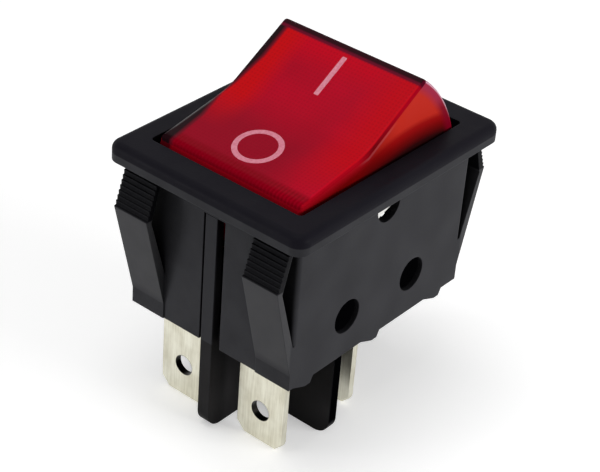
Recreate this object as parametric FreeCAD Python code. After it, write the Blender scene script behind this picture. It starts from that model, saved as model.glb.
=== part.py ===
import FreeCAD, Part
import math
import os
from FreeCAD import Vector

# Panel rocker switch, double pole, with a lamp in its rocker. Millimetres.
# x runs from the O end to the I end, y across the two poles, z out of the panel.
# z = 0 is the panel face, under the bezel. The switch is drawn off, its O end pressed.

# Bezel
BEZEL_FLANGE_END = 2.45
BEZEL_FLANGE_SIDE = 1.95
BEZEL_THICKNESS = 2.1
BEZEL_CORNER = 1.5
BEZEL_ROUND = 0.9
BEZEL_ROOT = 0.75

# Terminals
TAB_WIDTH = 6.3
TAB_THICKNESS = 0.8
TAB_REACH = 11.35
TAB_CORNER = 1.0
TAB_BEVEL = 0.2
TAB_HOLE_RADIUS = 1.2
TAB_HOLE_FROM_TIP = 4.15
END_TAB_INSET = 1.8
SHELF_REACH = 4.55
SHELF_BEND = 1.0
FORK_SLOT = 3.3
FORK_RISE = 1.2
FORK_SHOULDER = 0.4
FORK_CHAMFER = 0.5
FORK_SHOULDER_HEIGHT = 1.2

# Base
BASE_FLOOR = 2.0
BARRIER = 1.55
BARRIER_OFFSET = 0.42
BARRIER_REACH = 11.5
BARRIER_CORNER = 2.0
TONGUE_INSET = 0.2
CROSS_BARRIER = 1.2
CROSS_BARRIER_SHIFT = 0.455
CROSS_BARRIER_MARGIN = 0.75
DIVIDER_TERMINAL_GAP = 0.855
DIVIDER_ABOVE_KNIFE = 3.2
DIVIDER_END_GAP = 1.75
EAR_THICKNESS = 0.9
EAR_TERMINAL_GAP = 0.05
EAR_LENGTH = 6.0
EAR_ABOVE_HOLE = 2.35
EAR_CORNER = 1.2
STUD_GAP = 0.1
STUD_RECESS = 0.5
SHELF_BLOCK_WIDTH = 4.8
SHELF_BLOCK_GAP = 1.0
SHELF_BLOCK_INSET = 0.5
SADDLE_LENGTH = 3.2
SADDLE_WALL = 0.8

# Body of the housing
BODY_LENGTH = 28.5
BODY_DEPTH = 18.2
BODY_CORNER = 0.5
END_WALL = 1.0
SIDE_WALL = 1.0
WELL_CORNER = 0.5
SLOT_WIDTH = 2.9
SLOT_TOP = 2.3
SIDE_HOLE_RADIUS = 2.0
SIDE_HOLE_FROM_END = 8.75
SIDE_HOLE_HEIGHT = 4.95
FIT_GAP = 0.05
TOE_LENGTH = 3.25
TOE_RAMP = 2.0
TOE_HEEL = 0.4
TOE_HEIGHT = 0.8
TOE_PITCH = 11.15
TOE_MIDDLE = -0.95

# Latch arms, moulded with the end walls, measured out from the wall
ARM_WIDTH = 4.6
ARM_FOOT = 0.15
ARM_FOOT_HEIGHT = 1.9
ARM_ROOT_HEIGHT = 5.5
ARM_KNEE_OUT = 3.1
ARM_KNEE_DEPTH = 4.7
ARM_TIP_OUT = 1.6
ARM_TIP_DEPTH = 0.4
ARM_TIP_THICKNESS = 0.6
ARM_LEAF = 0.8
ARM_LEAF_DROP = 0.4
ARM_TEETH = 8
ARM_TOOTH = 0.22
TOOTH_CREST_SHARE = 0.15
TOOTH_STEP_SHARE = 0.1
TOOTH_RUNOUT_SHARE = 0.35

# Rocker
TILT = 20.3
PIVOT_DEPTH = 2.1
PIVOT_RADIUS = 1.78
PIVOT_CLEARANCE = 0.06
PIVOT_FLAT = 0.35
PIVOT_RECESS = 0.15
ROCKER_END_GAP = 0.48
ROCKER_SIDE_GAP = 0.3
ROCKER_CROWN_INSET = 2.73
ROCKER_CROWN_HEIGHT = 8.72
ROCKER_DISH = 1.82
ROCKER_SIDE_DRAFT = 0.4
ROCKER_DISH_BLEND = 9.0
ROCKER_SKIRT = 3.2
ROCKER_EDGE = 0.4
LENS_WALL = 1.1
LENS_ROOF = 1.2
LENS_ARCH = 2.5
CROWN_PASSES = 20

# Carrier under the lens
CARRIER_FLOOR = 1.1
CARRIER_CHEEK = 1.1
CARRIER_CHEEK_TOP = 1.4
CARRIER_END_LIP = 1.6
CARRIER_CORNER = 0.8
POST_RADIUS = 2.5
POST_ABOVE_KNIFE = 5.2
POST_ABOVE = 2.4
BORE_ROOF = 0.9

# Levers and contacts
KNIFE_HEIGHT = 5.6
LEVER_THICKNESS = 0.8
LEVER_WIDTH = 5.0
LEVER_WAIST = 3.0
LEVER_WAIST_HALF = 1.25
LEVER_TILT = 7.0
LEVER_DISH_HALF = 3.0
LEVER_DISH_RISE = 0.9
LEVER_PAST_CONTACT = 1.7
LEVER_FREE_END = 5.6
LEVER_CORNER = 0.8
CONTACT_FROM_TAB = 2.45
CONTACT_RADIUS = 1.7
CONTACT_HEAD = 0.7
CONTACT_SHANK = 0.85
CONTACT_PEEN = 1.2
CONTACT_PEEN_HEIGHT = 0.3
CONTACT_CLOSED_GAP = 0.03
RIVET_CLEARANCE = 0.02

# Plungers and their springs
PLUNGER_RADIUS = 1.6
PLUNGER_TIP = 1.1
PLUNGER_NECK = 1.2
PLUNGER_TAPER = 0.5
PLUNGER_NOSE_BANDS = 3
PLUNGER_FLOOR = 0.6
PLUNGER_HOLLOW = 1.15
PLUNGER_HEADROOM = 3.0
PLUNGER_CLEARANCE = 0.1
PLUNGER_TIP_GAP = 0.22
SPRING_WIRE = 0.34
SPRING_SIDE_GAP = 0.13
SPRING_TURNS = 5
SPRING_STEPS = 12
SPRING_GAP = 0.05

# Lamp
BULB_RADIUS = 2.1
BULB_LENGTH = 9.4
BULB_GLASS = 0.35
BULB_MIDDLE = -1.6
BULB_HEIGHT = 0.55
BULB_TIP = 1.0
BULB_TIP_RADIUS = 0.7
BULB_DOME = 0.9
BULB_PINCH = 1.6
BULB_PINCH_RADIUS = 1.0
ELECTRODE_RADIUS = 0.4
ELECTRODE_LENGTH = 5.2
ELECTRODE_SPACING = 1.5
LEAD_RADIUS = 0.22
LEAD_STEPS = 4
LEAD_BEND = 0.8
LEAD_CLEARANCE = 0.05
LEAD_CHANNEL = 0.1
LEAD_RUN = 2.1
LEAD_SLANT = 2.4
LEAD_PAST_RESISTOR = 0.9
RESISTOR_RADIUS = 1.05
RESISTOR_END_GAP = 1.35
RESISTOR_POST_GAP = 1.9
RESISTOR_CAP = 1.1
RESISTOR_WAIST = 0.15

# Overlap of blocks that are fused, and how far a cutting tool runs past
JOIN = 0.5
PAST = 1.0
NEAR = 0.1
EXACT = 1e-6

# Across the poles, from the divider outwards
POLE_Y = BARRIER / 2 + BARRIER_OFFSET + DIVIDER_TERMINAL_GAP + FORK_SHOULDER + TAB_WIDTH / 2
EAR_INNER = POLE_Y + TAB_WIDTH / 2 + FORK_SHOULDER + EAR_TERMINAL_GAP
WELL_WIDTH = 2 * (EAR_INNER + EAR_THICKNESS + FIT_GAP)
BODY_WIDTH = WELL_WIDTH + 2 * SIDE_WALL
BEZEL_WIDTH = BODY_WIDTH + 2 * BEZEL_FLANGE_SIDE
ROCKER_WIDTH = WELL_WIDTH - 2 * ROCKER_SIDE_GAP

# Along the body
WELL_LENGTH = BODY_LENGTH - 2 * END_WALL
BEZEL_LENGTH = BODY_LENGTH + 2 * BEZEL_FLANGE_END
END_TAB_X = END_TAB_INSET - WELL_LENGTH / 2
SHELF_END_X = END_TAB_X + SHELF_REACH
CONTACT_REACH = -END_TAB_X - CONTACT_FROM_TAB
LEVER_CONTACT_END = CONTACT_REACH + LEVER_PAST_CONTACT
CROSS_BARRIER_X = END_TAB_X / 2 + CROSS_BARRIER_SHIFT
SIDE_HOLE_X = BODY_LENGTH / 2 - SIDE_HOLE_FROM_END
ROCKER_REACH = WELL_LENGTH / 2 - ROCKER_END_GAP
ROCKER_TOP_HALF = ROCKER_REACH - ROCKER_CROWN_INSET
ROCKER_END_RADIUS = (ROCKER_CROWN_HEIGHT ** 2 + ROCKER_CROWN_INSET ** 2) / (2 * ROCKER_CROWN_INSET)
TRAY_HALF = ROCKER_REACH - LENS_WALL - CARRIER_END_LIP
RESISTOR_END = TRAY_HALF - RESISTOR_END_GAP
RESISTOR_START = POST_RADIUS + RESISTOR_POST_GAP

# Heights
FLOOR_TOP = BASE_FLOOR - BODY_DEPTH
SIDE_HOLE_Z = SIDE_HOLE_HEIGHT - BODY_DEPTH
EAR_TOP_Z = SIDE_HOLE_Z + EAR_ABOVE_HOLE
KNIFE_Z = KNIFE_HEIGHT - BODY_DEPTH
TAB_TIP_Z = -BODY_DEPTH - TAB_REACH
PIVOT = Vector(0, 0, -PIVOT_DEPTH)
CROWN_Z = ROCKER_CROWN_HEIGHT - PIVOT_DEPTH

# Fits
BORE_RADIUS = PLUNGER_RADIUS + PLUNGER_CLEARANCE
STUD_RADIUS = SIDE_HOLE_RADIUS - STUD_GAP
SPRING_RADIUS = PLUNGER_HOLLOW - SPRING_SIDE_GAP - SPRING_WIRE / 2


def box(x, y, z):
    """A block from three pairs of limits."""
    return Part.makeBox(x[1] - x[0], y[1] - y[0], z[1] - z[0], Vector(x[0], y[0], z[0]))


def centred(length, width, z):
    """A block centred on the z axis."""
    return box((-length / 2, length / 2), (-width / 2, width / 2), z)


def straight_edges(shape, axis, where):
    """Straight edges along an axis whose middle point meets a condition."""
    found = []
    for edge in shape.Edges:
        if not isinstance(edge.Curve, Part.Line):
            continue
        if abs(abs(edge.tangentAt(edge.FirstParameter).dot(axis)) - 1) > EXACT:
            continue
        if where(edge.CenterOfMass):
            found.append(edge)
    return found


def round_upright(shape, radius):
    """Round every upright edge of a block."""
    return shape.makeFillet(radius, straight_edges(shape, Vector(0, 0, 1), lambda p: True))


def side_profile(points, y0, y1):
    """A solid with an outline of (x, z) points, from y0 to y1."""
    corners = [Vector(x, y0, z) for x, z in points]
    face = Part.Face(Part.makePolygon(corners + corners[:1]))
    return face.extrude(Vector(0, y1 - y0, 0))


def front_profile(points, x0, x1):
    """A solid with an outline of (y, z) points, from x0 to x1."""
    corners = [Vector(x0, y, z) for y, z in points]
    face = Part.Face(Part.makePolygon(corners + corners[:1]))
    return face.extrude(Vector(x1 - x0, 0, 0))


def turned(points, centre):
    """A turned solid about an upright axis, from (radius, z) points."""
    corners = [Vector(r, 0, z) for r, z in points]
    face = Part.Face(Part.makePolygon(corners + corners[:1]))
    solid = face.revolve(Vector(0, 0, 0), Vector(0, 0, 1), 360)
    return solid.translated(centre)


def mirrored(shape, plane):
    return shape.mirror(Vector(0, 0, 0), plane)


def four_ways(shape):
    """The shape and its mirror images across both middle planes."""
    pair = [shape, mirrored(shape, Vector(1, 0, 0))]
    return pair + [mirrored(one, Vector(0, 1, 0)) for one in pair]


def joined(shapes):
    whole = shapes[0].fuse(shapes[1:])
    return whole.removeSplitter()


# Housing

def bezel():
    """Plate with rounded corners and a well rounded upper edge."""
    plate = round_upright(centred(BEZEL_LENGTH, BEZEL_WIDTH, (0, BEZEL_THICKNESS)), BEZEL_CORNER)
    rim = [e for e in plate.Edges if e.BoundBox.ZMin > BEZEL_THICKNESS - NEAR]
    return plate.makeFillet(BEZEL_ROUND, rim)


def arm_outline():
    """Side outline of the latch arm at the O end, as (distance out, z) points."""
    knee = (ARM_KNEE_OUT, -ARM_KNEE_DEPTH)
    tip = (ARM_TIP_OUT, -ARM_TIP_DEPTH)
    points = [(-END_WALL / 2, -BODY_DEPTH), (ARM_FOOT, -BODY_DEPTH),
              (ARM_FOOT, -BODY_DEPTH + ARM_FOOT_HEIGHT), knee]
    for tooth in range(ARM_TEETH):
        for place, sink in ((TOOTH_CREST_SHARE, 0), (TOOTH_CREST_SHARE + TOOTH_STEP_SHARE, ARM_TOOTH),
                            (1, ARM_TOOTH * TOOTH_RUNOUT_SHARE)):
            share = (tooth + place) / ARM_TEETH
            points.append((knee[0] + (tip[0] - knee[0]) * share - sink,
                           knee[1] + (tip[1] - knee[1]) * share))
    root_z = ARM_ROOT_HEIGHT - BODY_DEPTH
    points += [(ARM_TIP_OUT - ARM_TIP_THICKNESS, -ARM_TIP_DEPTH - ARM_TIP_THICKNESS / 2),
               (ARM_KNEE_OUT - ARM_LEAF, -ARM_KNEE_DEPTH - ARM_LEAF_DROP),
               (0, root_z), (-END_WALL / 2, root_z)]
    return points


def latch_arms():
    outline = [(-BODY_LENGTH / 2 - out, z) for out, z in arm_outline()]
    arm = side_profile(outline, BODY_WIDTH / 2 - ARM_WIDTH, BODY_WIDTH / 2)
    return four_ways(arm)


def wall_toe(x):
    """Ramped toe under a long wall, flush with it."""
    start = x - TOE_LENGTH / 2
    end = x + TOE_LENGTH / 2
    root = JOIN - BODY_DEPTH
    low = -BODY_DEPTH - TOE_HEIGHT
    outline = [(start, root), (start, -BODY_DEPTH), (start + TOE_RAMP, low), (end - TOE_HEEL, low),
               (end, -BODY_DEPTH), (end, root)]
    return side_profile(outline, WELL_WIDTH / 2, BODY_WIDTH / 2)


def through_wall(x, z, radius):
    """A round cutter across both long walls."""
    half = BODY_WIDTH / 2 + PAST
    return Part.makeCylinder(radius, 2 * half, Vector(x, -half, z), Vector(0, 1, 0))


def housing():
    shell = round_upright(centred(BODY_LENGTH, BODY_WIDTH, (-BODY_DEPTH, BEZEL_ROOT)), BODY_CORNER)
    shell = joined([shell, bezel()])
    well = centred(WELL_LENGTH, WELL_WIDTH, (-BODY_DEPTH - PAST, BEZEL_THICKNESS + PAST))
    shell = shell.cut(round_upright(well, WELL_CORNER))
    cuts = [box((-BODY_LENGTH, BODY_LENGTH), (-SLOT_WIDTH / 2, SLOT_WIDTH / 2),
                (-BODY_DEPTH - PAST, -SLOT_TOP)),
            through_wall(0, -PIVOT_DEPTH, PIVOT_RADIUS + PIVOT_CLEARANCE)]
    for x in (-SIDE_HOLE_X, SIDE_HOLE_X):
        cuts.append(through_wall(x, SIDE_HOLE_Z, SIDE_HOLE_RADIUS))
    parts = [shell] + latch_arms()
    for place in (-1, 0, 1):
        toe = wall_toe(TOE_MIDDLE + place * TOE_PITCH)
        parts += [toe, mirrored(toe, Vector(0, 1, 0))]
    return joined(parts).cut(cuts)


# Base

def barrier_plate(half_length, thickness):
    """A hanging barrier with rounded lower corners, standing along x."""
    low = -BODY_DEPTH - BARRIER_REACH
    plate = box((-half_length, half_length), (-thickness / 2, thickness / 2), (low, -BODY_DEPTH))
    corners = straight_edges(plate, Vector(0, 1, 0), lambda p: p.z < low + NEAR)
    return plate.makeFillet(BARRIER_CORNER, corners)


def base_ear(x):
    """Upright ear with the round stud that snaps into a side hole."""
    ear = box((x - EAR_LENGTH / 2, x + EAR_LENGTH / 2), (EAR_INNER, EAR_INNER + EAR_THICKNESS),
              (FLOOR_TOP - JOIN, EAR_TOP_Z))
    ear = ear.makeChamfer(EAR_CORNER, straight_edges(ear, Vector(0, 1, 0), lambda p: p.z > EAR_TOP_Z - NEAR))
    stud = Part.makeCylinder(STUD_RADIUS, BODY_WIDTH / 2 - STUD_RECESS - EAR_INNER,
                             Vector(x, EAR_INNER, SIDE_HOLE_Z), Vector(0, 1, 0))
    return ear.fuse(stud)


def pedestals(y):
    """Blocks that carry the end terminal's shelf and the centre terminal's shoulder."""
    half_block = SHELF_BLOCK_WIDTH / 2
    half_saddle = TAB_WIDTH / 2 + SADDLE_WALL
    block = box((END_TAB_X + TAB_THICKNESS / 2 + SHELF_BLOCK_GAP, SHELF_END_X - SHELF_BLOCK_INSET),
                (y - half_block, y + half_block), (FLOOR_TOP - JOIN, contact_shelf_top() - TAB_THICKNESS))
    saddle = box((-SADDLE_LENGTH / 2, SADDLE_LENGTH / 2), (y - half_saddle, y + half_saddle),
                 (FLOOR_TOP - JOIN, shoulder_z()))
    return [block, saddle]


def tab_slot(x, y):
    half_x = (TAB_THICKNESS + FIT_GAP) / 2
    half_y = (TAB_WIDTH + FIT_GAP) / 2
    return box((x - half_x, x + half_x), (y - half_y, y + half_y), (-BODY_DEPTH - PAST, EAR_TOP_Z))


def end_tongue(end, side):
    """Tongue in line with the long barrier that fills part of an end wall's slot."""
    face = end * BODY_LENGTH / 2
    wall = end * WELL_LENGTH / 2
    tongue = box(sorted((face, wall)), side, (-BODY_DEPTH - JOIN, -SLOT_TOP - FIT_GAP))
    root = box(sorted((face - end * TONGUE_INSET, wall - end * JOIN)), side, (-BODY_DEPTH, FLOOR_TOP))
    return [tongue, root]


def base():
    floor = centred(WELL_LENGTH - 2 * FIT_GAP, WELL_WIDTH - 2 * FIT_GAP, (-BODY_DEPTH, FLOOR_TOP))
    long_barrier = barrier_plate(BODY_LENGTH / 2, BARRIER)
    long_barrier.translate(Vector(0, BARRIER_OFFSET, 0))
    cross_barrier = barrier_plate(BODY_WIDTH / 2 - CROSS_BARRIER_MARGIN, CROSS_BARRIER)
    cross_barrier.rotate(Vector(0, 0, 0), Vector(0, 0, 1), 90)
    cross_barrier.translate(Vector(CROSS_BARRIER_X, 0, 0))
    side = (BARRIER_OFFSET - BARRIER / 2, BARRIER_OFFSET + BARRIER / 2)
    divider_half = WELL_LENGTH / 2 - DIVIDER_END_GAP
    divider = box((-divider_half, divider_half), side, (FLOOR_TOP - JOIN, KNIFE_Z + DIVIDER_ABOVE_KNIFE))
    parts = [round_upright(floor, WELL_CORNER), long_barrier, cross_barrier, divider]
    for end in (-1, 1):
        parts += end_tongue(end, side)
    for x in (-SIDE_HOLE_X, SIDE_HOLE_X):
        ear = base_ear(x)
        parts += [ear, mirrored(ear, Vector(0, 1, 0))]
    for y in (-POLE_Y, POLE_Y):
        parts += pedestals(y)
    slots = [tab_slot(x, y) for x in (END_TAB_X, 0) for y in (-POLE_Y, POLE_Y)]
    return joined(parts).cut(slots)


# Rocker lens and carrier, drawn level and then tilted

def rocker_outline(inset, roof, bottom):
    """Side face of the rocker: a dished top between two bowed ends."""
    radius = ROCKER_END_RADIUS - inset
    centre_x = ROCKER_REACH - ROCKER_END_RADIUS
    slope = math.atan2(ROCKER_DISH, ROCKER_TOP_HALF)
    trough_z = CROWN_Z - ROCKER_DISH - roof / math.cos(slope)

    def top_z(x):
        return trough_z + abs(x) * math.tan(slope)

    def end_x(z):
        return centre_x + math.sqrt(radius ** 2 - (z + PIVOT_DEPTH) ** 2)

    half = ROCKER_TOP_HALF
    for _ in range(CROWN_PASSES):
        half = end_x(top_z(half))
    blend = ROCKER_DISH_BLEND + roof
    near = blend * math.sin(slope)
    low = top_z(near) - blend * (1 - math.cos(slope))
    foot = end_x(bottom)

    def at(x, z):
        return Vector(x, 0, z)

    def arc(a, b, c):
        return Part.Arc(a, b, c).toShape()

    def line(a, b):
        return Part.LineSegment(a, b).toShape()

    edges = [line(at(-half, top_z(half)), at(-near, top_z(near))),
             arc(at(-near, top_z(near)), at(0, low), at(near, top_z(near))),
             line(at(near, top_z(near)), at(half, top_z(half))),
             arc(at(half, top_z(half)), PIVOT + Vector(ROCKER_REACH - inset, 0, 0), at(foot, bottom)),
             line(at(foot, bottom), at(-foot, bottom)),
             arc(at(-foot, bottom), PIVOT - Vector(ROCKER_REACH - inset, 0, 0), at(-half, top_z(half)))]
    return Part.Face(Part.Wire(edges))


def rocker_block(inset, roof, bottom, half_width):
    """The side face carried across the rocker, its two sides drawn in towards the top."""
    face = rocker_outline(inset, roof, bottom)
    face.translate(Vector(0, -half_width, 0))
    block = face.extrude(Vector(0, 2 * half_width, 0))
    top_half = half_width - ROCKER_SIDE_DRAFT
    sides = front_profile([(-half_width, -ROCKER_SKIRT), (-top_half, CROWN_Z), (top_half, CROWN_Z),
                           (half_width, -ROCKER_SKIRT)], -ROCKER_REACH - PAST, ROCKER_REACH + PAST)
    if bottom < -ROCKER_SKIRT:
        sides = sides.fuse(centred(2 * ROCKER_REACH + 2 * PAST, 2 * half_width, (bottom, -ROCKER_SKIRT)))
    return block.common(sides)


def rocker_lens():
    outer = rocker_block(0, 0, -ROCKER_SKIRT, ROCKER_WIDTH / 2)
    rounded = [e for e in outer.Edges if e.CenterOfMass.z > -ROCKER_SKIRT + JOIN]
    outer = outer.makeFillet(ROCKER_EDGE, rounded)
    inner = rocker_block(LENS_WALL, LENS_ROOF, -ROCKER_SKIRT - PAST, ROCKER_WIDTH / 2 - LENS_WALL)
    half = ROCKER_WIDTH / 2 + PAST
    arch = Part.makeCylinder(LENS_ARCH, 2 * half, PIVOT - Vector(0, half, 0), Vector(0, 1, 0))
    notch = centred(2 * LENS_ARCH, 2 * half, (-ROCKER_SKIRT - PAST, -PIVOT_DEPTH))
    return outer.cut([inner, arch, notch])


def carrier_boss():
    """Half-round trunnion that turns in the housing wall."""
    wall = ROCKER_WIDTH / 2 - LENS_WALL
    inner = wall - CARRIER_CHEEK
    outer = BODY_WIDTH / 2 - PIVOT_RECESS
    boss = Part.makeCylinder(PIVOT_RADIUS, outer - inner, PIVOT + Vector(0, inner, 0), Vector(0, 1, 0))
    flat = box((-PIVOT_RADIUS - PAST, PIVOT_RADIUS + PAST), (wall, outer + PAST),
               (-PIVOT_DEPTH - PIVOT_RADIUS - PAST, -PIVOT_DEPTH - PIVOT_FLAT))
    return boss.cut(flat)


def carrier_floor_top():
    return -ROCKER_SKIRT + CARRIER_FLOOR


def spring_post(y):
    """Hollow post that guides a plunger, through the carrier's floor."""
    foot = KNIFE_Z + POST_ABOVE_KNIFE
    return Part.makeCylinder(POST_RADIUS, carrier_floor_top() + POST_ABOVE - foot, Vector(0, y, foot))


def bore_top():
    return carrier_floor_top() + POST_ABOVE - BORE_ROOF


def lead_channel(y):
    """Slot in a post's side that lets a lamp lead in over the spring."""
    half = LEAD_RADIUS + LEAD_CHANNEL
    return box((0, POST_RADIUS + PAST), (y - half, y + half), (lead_height() - half, lead_height() + half))


def rocker_carrier():
    half_width = ROCKER_WIDTH / 2 - LENS_WALL - FIT_GAP
    block = rocker_block(LENS_WALL + FIT_GAP, LENS_ROOF + FIT_GAP, -ROCKER_SKIRT, half_width)
    block = block.common(centred(2 * ROCKER_REACH, ROCKER_WIDTH, (-ROCKER_SKIRT, CARRIER_CHEEK_TOP)))
    pocket = box((-TRAY_HALF, TRAY_HALF), (-half_width + CARRIER_CHEEK, half_width - CARRIER_CHEEK),
                 (carrier_floor_top(), CARRIER_CHEEK_TOP + PAST))
    parts = [block.cut(round_upright(pocket, CARRIER_CORNER)), carrier_boss(),
             mirrored(carrier_boss(), Vector(0, 1, 0))]
    cuts = []
    for y in (-POLE_Y, POLE_Y):
        parts.append(spring_post(y))
        cuts.append(Part.makeCylinder(BORE_RADIUS, BODY_DEPTH, Vector(0, y, bore_top() - BODY_DEPTH)))
        cuts.append(lead_channel(y))
    return joined(parts).cut(cuts)


# Plungers and springs, drawn level and then tilted

def lever_top_at_centre():
    slope = math.atan2(LEVER_DISH_RISE, LEVER_DISH_HALF)
    return KNIFE_Z + LEVER_THICKNESS / math.cos(slope)


def plunger_tip_centre():
    """Height of the ball end's centre that keeps the tip gap over the dished lever."""
    slope = math.atan2(LEVER_DISH_RISE, LEVER_DISH_HALF)
    return lever_top_at_centre() + (PLUNGER_TIP + PLUNGER_TIP_GAP) / math.cos(slope)


def lead_under():
    """Height of the lamp lead's underside over each spring."""
    return lead_height() - LEAD_RADIUS


def plunger_top():
    return lead_under() - PLUNGER_HEADROOM


def plunger(y):
    """Hollow pin with a blunt nose, open at the top for its spring."""
    ball = plunger_tip_centre()
    shoulder = ball + PLUNGER_NECK
    outline = []
    for band in range(PLUNGER_NOSE_BANDS + 1):
        angle = math.radians(90 * band / PLUNGER_NOSE_BANDS)
        outline.append((PLUNGER_TIP * math.sin(angle), ball - PLUNGER_TIP * math.cos(angle)))
    floor = shoulder + PLUNGER_FLOOR
    outline += [(PLUNGER_TIP, shoulder), (PLUNGER_RADIUS, shoulder + PLUNGER_TAPER),
                (PLUNGER_RADIUS, plunger_top()), (PLUNGER_HOLLOW, plunger_top()),
                (PLUNGER_HOLLOW, floor), (0, floor)]
    return turned(outline, Vector(0, y, 0))


def plunger_spring(y):
    """Coil between the plunger's floor and the lamp lead over it, in straight steps."""
    low = plunger_tip_centre() + PLUNGER_NECK + PLUNGER_FLOOR + SPRING_WIRE / 2
    high = lead_under() - SPRING_GAP - SPRING_WIRE / 2
    half = SPRING_WIRE / 2
    steps = SPRING_TURNS * SPRING_STEPS
    sections = []
    for step in range(steps + 1):
        angle = 2 * math.pi * step / SPRING_STEPS
        outward = Vector(math.cos(angle), math.sin(angle), 0)
        centre = outward * SPRING_RADIUS + Vector(0, y, low + (high - low) * step / steps)
        corners = [centre + outward * half, centre + Vector(0, 0, half),
                   centre - outward * half, centre - Vector(0, 0, half)]
        sections.append(Part.makePolygon(corners + corners[:1]))
    return Part.makeLoft(sections, True, True)


# Levers and contacts, drawn level and then tilted

def lever_under(x):
    """Height of the lever's underside over its knife edge."""
    if abs(x) <= LEVER_DISH_HALF:
        return abs(x) * LEVER_DISH_RISE / LEVER_DISH_HALF
    return LEVER_DISH_RISE + (abs(x) - LEVER_DISH_HALF) * math.tan(math.radians(LEVER_TILT))


def lever_outline():
    stations = [-LEVER_CONTACT_END, -LEVER_DISH_HALF, 0, LEVER_DISH_HALF, LEVER_FREE_END]
    slope = math.atan2(LEVER_DISH_RISE, LEVER_DISH_HALF)
    low = [(x, lever_under(x) + KNIFE_Z) for x in stations]
    high = []
    for x, z in low:
        angle = slope if abs(x) < LEVER_DISH_HALF else math.radians(LEVER_TILT)
        high.append((x, z + LEVER_THICKNESS / math.cos(angle)))
    return low + high[::-1]


def contact_lever(y):
    strip = side_profile(lever_outline(), y - LEVER_WIDTH / 2, y + LEVER_WIDTH / 2)
    ends = straight_edges(strip, Vector(0, 0, 1), lambda p: abs(p.x) > LEVER_DISH_HALF)
    strip = strip.makeFillet(LEVER_CORNER, ends)
    waist = (LEVER_WIDTH - LEVER_WAIST) / 2
    cuts = []
    for outer in (-1, 1):
        edge = y + outer * LEVER_WIDTH / 2
        across = sorted((edge + outer * PAST, edge - outer * waist))
        cuts.append(box((-LEVER_WAIST_HALF, LEVER_WAIST_HALF), across,
                        (KNIFE_Z - PAST, KNIFE_Z + 2 * PAST)))
    cuts.append(contact_axis_cylinder(y, CONTACT_SHANK + RIVET_CLEARANCE, -PAST, LEVER_THICKNESS + PAST))
    return strip.cut(cuts)


def contact_axis_cylinder(y, radius, low, high):
    """A cylinder square to the lever's wing at the contact, from its underside."""
    angle = math.radians(LEVER_TILT)
    foot = Vector(-CONTACT_REACH, y, lever_under(CONTACT_REACH) + KNIFE_Z)
    normal = Vector(math.sin(angle), 0, math.cos(angle))
    return Part.makeCylinder(radius, high - low, foot + normal * low, normal)


def moving_contact(y):
    """Silver rivet: head under the lever, shank through it, peened over on top."""
    head = contact_axis_cylinder(y, CONTACT_RADIUS, -CONTACT_HEAD, 0)
    shank = contact_axis_cylinder(y, CONTACT_SHANK, 0, LEVER_THICKNESS)
    peen = contact_axis_cylinder(y, CONTACT_PEEN, LEVER_THICKNESS, LEVER_THICKNESS + CONTACT_PEEN_HEIGHT)
    return joined([head, shank, peen])


def closed_contact_point():
    """Where the moving contact's face lies when the switch is on."""
    angle = math.radians(LEVER_TILT)
    x = -CONTACT_REACH - math.sin(angle) * CONTACT_HEAD
    z = lever_under(CONTACT_REACH) - math.cos(angle) * CONTACT_HEAD
    return Vector(x * math.cos(angle) - z * math.sin(angle), 0, x * math.sin(angle) + z * math.cos(angle))


def contact_shelf_top():
    return KNIFE_Z + closed_contact_point().z - CONTACT_CLOSED_GAP - CONTACT_HEAD


def fixed_contact(y):
    """Silver rivet on the end terminal's shelf."""
    foot = Vector(closed_contact_point().x, y, contact_shelf_top())
    head = Part.makeCylinder(CONTACT_RADIUS, CONTACT_HEAD, foot)
    shank = Part.makeCylinder(CONTACT_SHANK, TAB_THICKNESS, foot - Vector(0, 0, TAB_THICKNESS))
    return joined([head, shank])


# Terminals

def tab_blade(x, y, top):
    """Quick-connect blade with chamfered tip, bevelled edges and a locking hole."""
    half = TAB_WIDTH / 2
    tip = TAB_TIP_Z
    outline = [(y - half, top), (y - half, tip + TAB_CORNER), (y - half + TAB_CORNER, tip),
               (y + half - TAB_CORNER, tip), (y + half, tip + TAB_CORNER), (y + half, top)]
    blade = front_profile(outline, x - TAB_THICKNESS / 2, x + TAB_THICKNESS / 2)
    flat = [e for e in blade.Edges if e.BoundBox.XLength < EXACT]
    bevelled = [e for e in flat if e.CenterOfMass.z < tip + TAB_CORNER + NEAR]
    blade = blade.makeChamfer(TAB_BEVEL, bevelled)
    start = Vector(x - TAB_THICKNESS / 2 - PAST, y, tip + TAB_HOLE_FROM_TIP)
    hole = Part.makeCylinder(TAB_HOLE_RADIUS, TAB_THICKNESS + 2 * PAST, start, Vector(1, 0, 0))
    return blade.cut(hole)


def end_terminal(y):
    """Blade bent over at the top into the shelf that carries the fixed contact."""
    top = contact_shelf_top()
    back = END_TAB_X - TAB_THICKNESS / 2
    across = (y - TAB_WIDTH / 2, y + TAB_WIDTH / 2)
    riser_foot = FLOOR_TOP - JOIN
    angle = joined([box((back, back + TAB_THICKNESS), across, (riser_foot, top)),
                    box((back, SHELF_END_X), across, (top - TAB_THICKNESS, top))])
    outside = straight_edges(angle, Vector(0, 1, 0),
                             lambda p: abs(p.x - back) < NEAR and abs(p.z - top) < NEAR)
    angle = angle.makeFillet(SHELF_BEND, outside)
    whole = joined([angle, tab_blade(END_TAB_X, y, riser_foot)])
    foot = Vector(closed_contact_point().x, y, top - TAB_THICKNESS - PAST)
    return whole.cut(Part.makeCylinder(CONTACT_SHANK + RIVET_CLEARANCE, TAB_THICKNESS + 2 * PAST, foot))


def shoulder_z():
    return KNIFE_Z - FORK_SHOULDER_HEIGHT


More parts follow.
